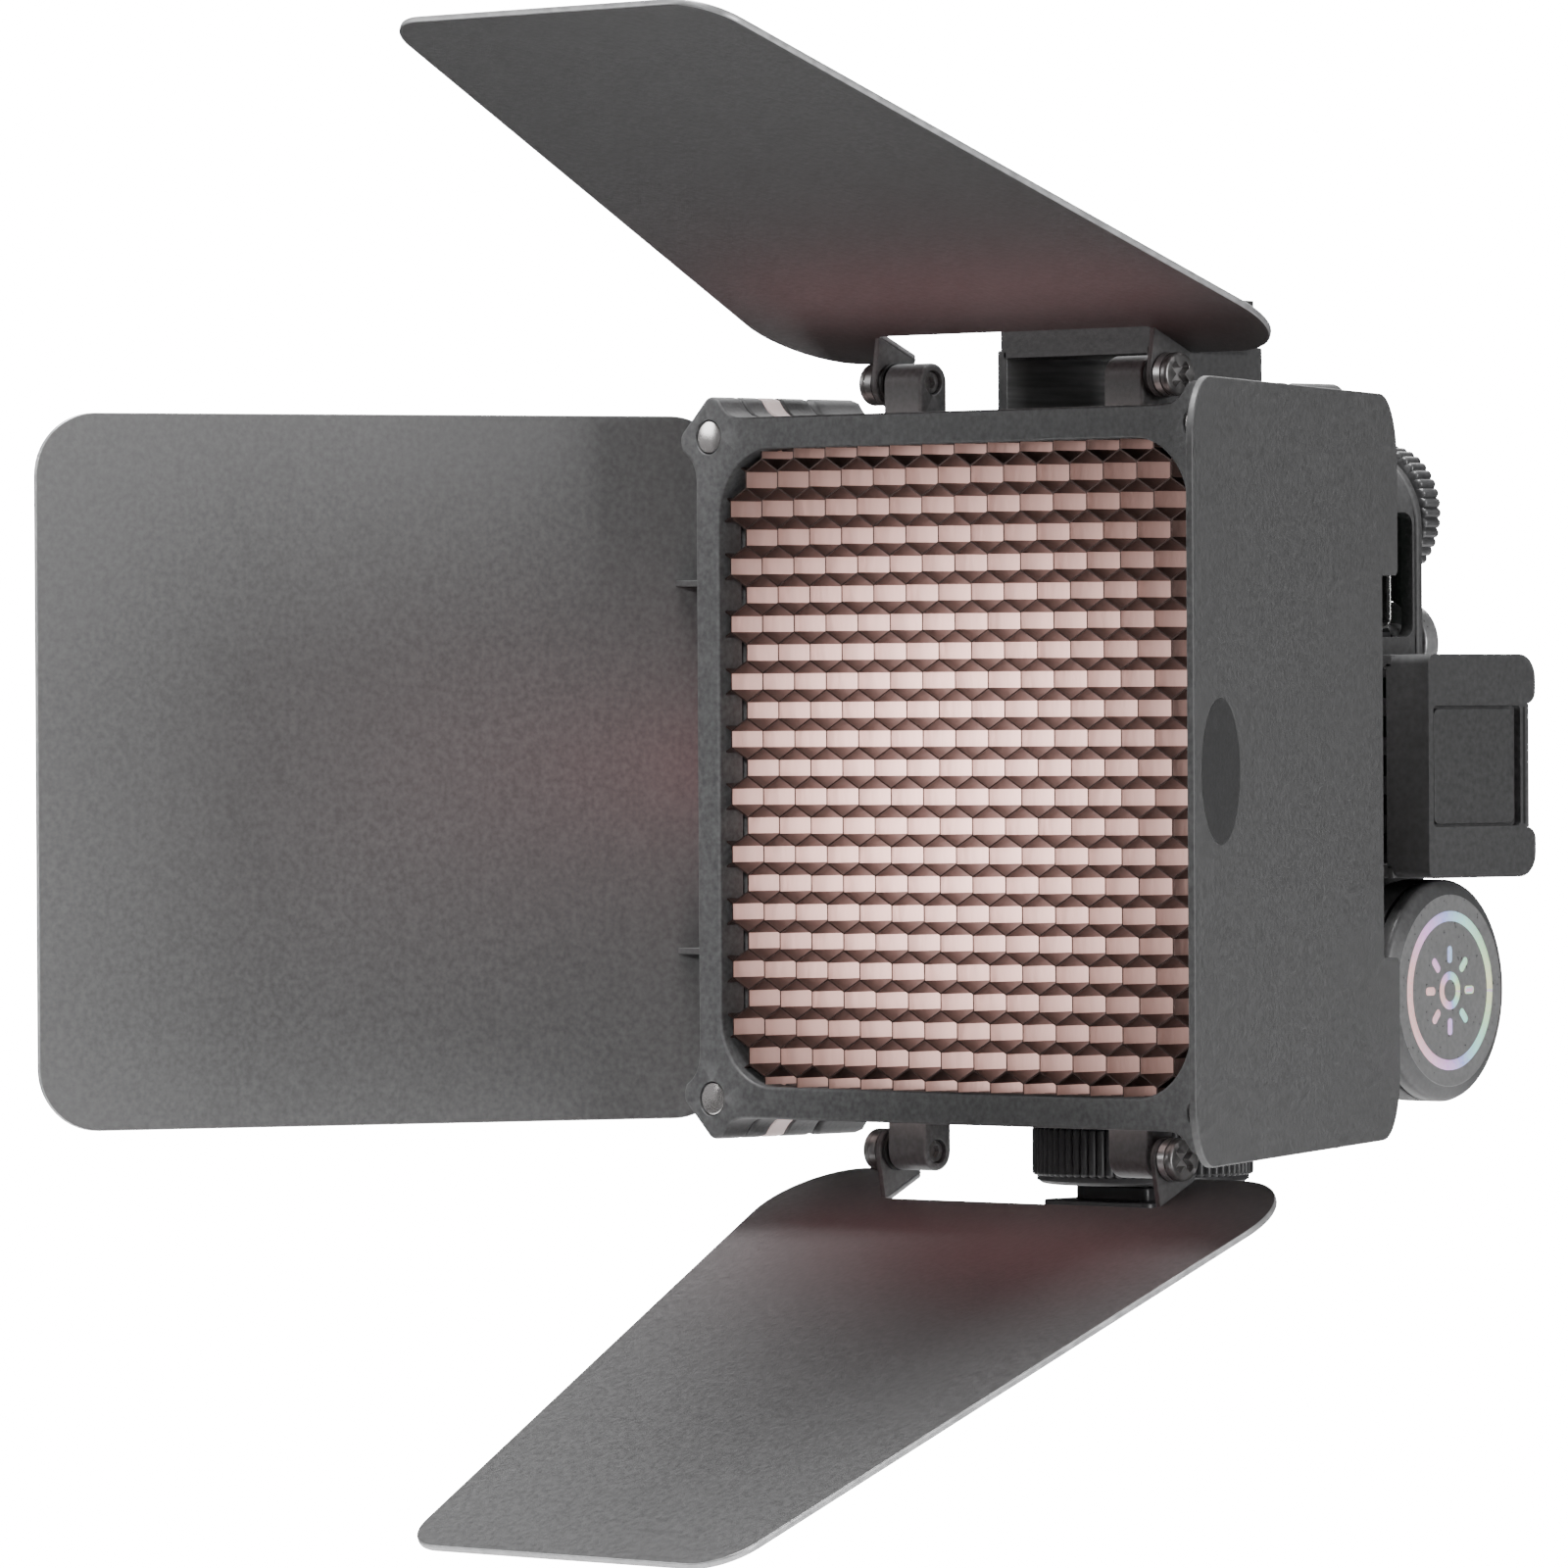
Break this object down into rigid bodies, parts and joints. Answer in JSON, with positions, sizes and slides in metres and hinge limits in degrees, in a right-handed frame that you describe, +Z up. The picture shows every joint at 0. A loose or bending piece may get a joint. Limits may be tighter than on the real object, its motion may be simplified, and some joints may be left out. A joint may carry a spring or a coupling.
{
  "type": "led panel light",
  "caption": "Small square LED panel light with a honeycomb grid, hinged barn doors, accessory brackets, control knobs and a cold-shoe foot with a locking wheel.",
  "frame": {"origin": "centre of the underside of the cold-shoe foot", "axes": "+Z up along the shoe mount, -Y the way the light shines, +X to the right seen from the front"},
  "size_m": [0.1964, 0.1216, 0.1888],
  "materials": {
    "frame_paint": "fine textured dark grey coat",
    "bracket_paint": "fine textured dark grey coat on bent metal",
    "door_sheet": "fine powder coat, bare cut edges",
    "black_plastic": "fine moulded black",
    "foot_metal": "black anodised",
    "washer_rubber": "black",
    "screw_steel": "black oxide, polished",
    "magnet_plate": "bright plated",
    "honeycomb_copper": "rose-gold foil walls",
    "opal_diffuser": "milky, lit pink from inside",
    "clear_lens": "clear",
    "led_white": "white board with light chips",
    "sink_aluminium": "satin",
    "connector_steel": "bright",
    "satin_knob": "satin grey",
    "circuit_board": "green solder mask",
    "battery_wrap": "shrink wrap"
  },
  "bodies": {
    "housing": {"grid_frame": "frame_paint", "grid_rear_frame": "frame_paint", "barndoor_ring": "frame_paint", "front_bezel": "frame_paint", "rear_housing": "frame_paint", "rear_cover": "frame_paint", "side_bracket": "bracket_paint", "top_bracket": "bracket_paint", "display_window": "black_plastic", "button_switch": "black_plastic", "fan_frame": "black_plastic", "shoe_foot": "foot_metal", "hinge_washer_top_1": "washer_rubber", "hinge_washer_top_2": "washer_rubber", "hinge_washer_right_1": "washer_rubber", "hinge_washer_right_2": "washer_rubber", "hinge_washer_bottom_1": "washer_rubber", "hinge_washer_bottom_2": "washer_rubber", "hinge_washer_left_1": "washer_rubber", "hinge_washer_left_2": "washer_rubber", "hinge_screw_top_1": "screw_steel", "hinge_screw_top_2": "screw_steel", "hinge_screw_right_1": "screw_steel", "hinge_screw_right_2": "screw_steel", "hinge_screw_bottom_1": "screw_steel", "hinge_screw_bottom_2": "screw_steel", "hinge_screw_left_1": "screw_steel", "hinge_screw_left_2": "screw_steel", "cover_screw_1": "screw_steel", "cover_screw_2": "screw_steel", "cover_screw_3": "screw_steel", "cover_screw_4": "screw_steel", "mount_stud": "screw_steel", "grid_magnet_1": "magnet_plate", "grid_magnet_2": "magnet_plate", "grid_magnet_3": "magnet_plate", "grid_magnet_4": "magnet_plate", "honeycomb_core": "honeycomb_copper", "diffuser_panel": "opal_diffuser", "front_lens": "clear_lens", "led_board": "led_white", "heat_sink": "sink_aluminium", "usb_port": "connector_steel", "switch_body": "connector_steel", "dial_encoder": "connector_steel", "main_board": "circuit_board", "battery_pack": "battery_wrap"},
    "door_top": {"door_top": "door_sheet"},
    "door_right": {"door_right": "door_sheet"},
    "door_bottom": {"door_bottom": "door_sheet"},
    "door_left": {"door_left": "door_sheet"},
    "dial": {"dial_knob": "black_plastic"},
    "button": {"push_button": "satin_knob"},
    "side_dial": {"side_knob": "satin_knob"},
    "lock_wheel": {"mount_wheel": "black_plastic"},
    "fan": {"fan_rotor": "black_plastic"},
    "switch": {"switch_slider": "black_plastic"}
  },
  "joints": [
    {"name": "door_top_hinge", "type": "hinge", "parent": "housing", "child": "door_top", "pos_m": [0, -0.0213, 0.1066], "axis": [-1, 0, 0], "range_deg": [-39, 66]},
    {"name": "door_right_hinge", "type": "hinge", "parent": "housing", "child": "door_right", "pos_m": [0.0549, -0.0213, 0.0574], "axis": [0, 0, 1], "range_deg": [-42.3, 62.7]},
    {"name": "door_bottom_hinge", "type": "hinge", "parent": "housing", "child": "door_bottom", "pos_m": [0, -0.0213, 0.0082], "axis": [1, 0, 0], "range_deg": [-41, 64]},
    {"name": "door_left_hinge", "type": "hinge", "parent": "housing", "child": "door_left", "pos_m": [-0.0549, -0.0213, 0.0574], "axis": [0, 0, -1], "range_deg": [-36.5, 68.5]},
    {"name": "dial_turn", "type": "hinge", "parent": "housing", "child": "dial", "pos_m": [0.0313, 0.0116, 0.0893], "axis": [0, 1, 0], "continuous": true},
    {"name": "side_dial_turn", "type": "hinge", "parent": "housing", "child": "side_dial", "pos_m": [0.0516, -0.0005, 0.0293], "axis": [0.9877, 0.1564, 0], "continuous": true},
    {"name": "lock_wheel_turn", "type": "hinge", "parent": "housing", "child": "lock_wheel", "pos_m": [0, 0, 0.0076], "axis": [0, 0, 1], "continuous": true},
    {"name": "fan_spin", "type": "hinge", "parent": "housing", "child": "fan", "pos_m": [0.017, 0.0013, 0.0414], "axis": [0, 1, 0], "continuous": true},
    {"name": "button_press", "type": "slide", "parent": "housing", "child": "button", "axis": [0, -1, 0], "range_m": [0, 0.0007], "stiffness_N_per_m": 400, "springref_m": -0.0005},
    {"name": "switch_slide", "type": "slide", "parent": "housing", "child": "switch", "axis": [0, 0, 1], "range_m": [0, 0.0009]}
  ]
}
